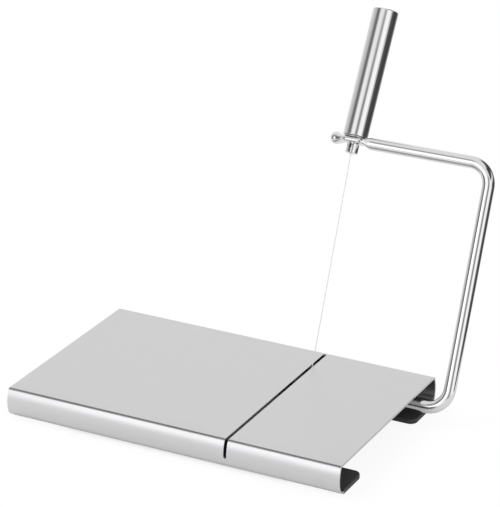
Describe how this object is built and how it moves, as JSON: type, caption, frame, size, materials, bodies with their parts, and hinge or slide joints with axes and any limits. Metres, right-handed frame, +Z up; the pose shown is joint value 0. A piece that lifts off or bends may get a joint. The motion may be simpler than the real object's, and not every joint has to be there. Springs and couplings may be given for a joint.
{
  "type": "cheese guillotine",
  "caption": "Bent steel cutting board on rubber foot strips, with a hinged wire bow that swings down through a slot and a screw handle that tightens the wire.",
  "frame": {"origin": "point of the rear foot strip's underside straight below the bow's hinge axis, at the middle of the board's length", "axes": "+X along the board towards the bow's upright, -Y to the front where the wire comes down, +Z up from the table"},
  "size_m": [0.2546, 0.2309, 0.2374],
  "materials": {
    "satin_steel": "satin, brushed along the board",
    "bright_steel": "polished",
    "plated_steel": "zinc plated",
    "spring_steel": "black oxide",
    "wire_steel": "drawn",
    "brass": "turned",
    "black_rubber": "matte",
    "black_plastic": "matte moulded"
  },
  "bodies": {
    "base": {"board": "satin_steel", "front_foot_strip": "black_rubber", "rear_foot_strip": "black_rubber", "left_bearing_block": "black_plastic", "right_bearing_block": "black_plastic", "bearing_stud_1": "plated_steel", "bearing_washer_1": "plated_steel", "bearing_nut_1": "plated_steel", "bearing_stud_2": "plated_steel", "bearing_washer_2": "plated_steel", "bearing_nut_2": "plated_steel", "bearing_stud_3": "plated_steel", "bearing_washer_3": "plated_steel", "bearing_nut_3": "plated_steel", "bearing_stud_4": "plated_steel", "bearing_washer_4": "plated_steel", "bearing_nut_4": "plated_steel"},
    "bow": {"bow_rod": "bright_steel", "left_thrust_washer": "plated_steel", "right_thrust_washer": "plated_steel", "left_retaining_clip": "spring_steel", "right_retaining_clip": "spring_steel", "lower_wire_bead": "plated_steel", "cutting_wire": "wire_steel", "seat_washer": "plated_steel"},
    "tension_screw": {"tension_screw": "bright_steel", "upper_wire_bead": "plated_steel"},
    "handle": {"handle_tube": "bright_steel", "handle_bush": "brass", "handle_end_cap": "bright_steel"}
  },
  "joints": [
    {"name": "bow_hinge", "type": "hinge", "parent": "base", "child": "bow", "pos_m": [0, 0, 0.0116], "axis": [1, 0, 0], "range_deg": [-45, 112.4]},
    {"name": "handle_turn", "type": "hinge", "parent": "bow", "child": "handle", "pos_m": [0.039, 0.05937, 0.15781], "axis": [0, 0.506, 0.8625], "range_deg": [0, 1440]},
    {"name": "screw_travel", "type": "slide", "parent": "bow", "child": "tension_screw", "axis": [0, 0.506, 0.8625], "range_m": [-0.004, 0], "deforming": ["cutting_wire"]}
  ],
  "couplings": [
    {"joint": "screw_travel", "follows": "handle_turn", "m_per_rad": -0.00015915}
  ]
}
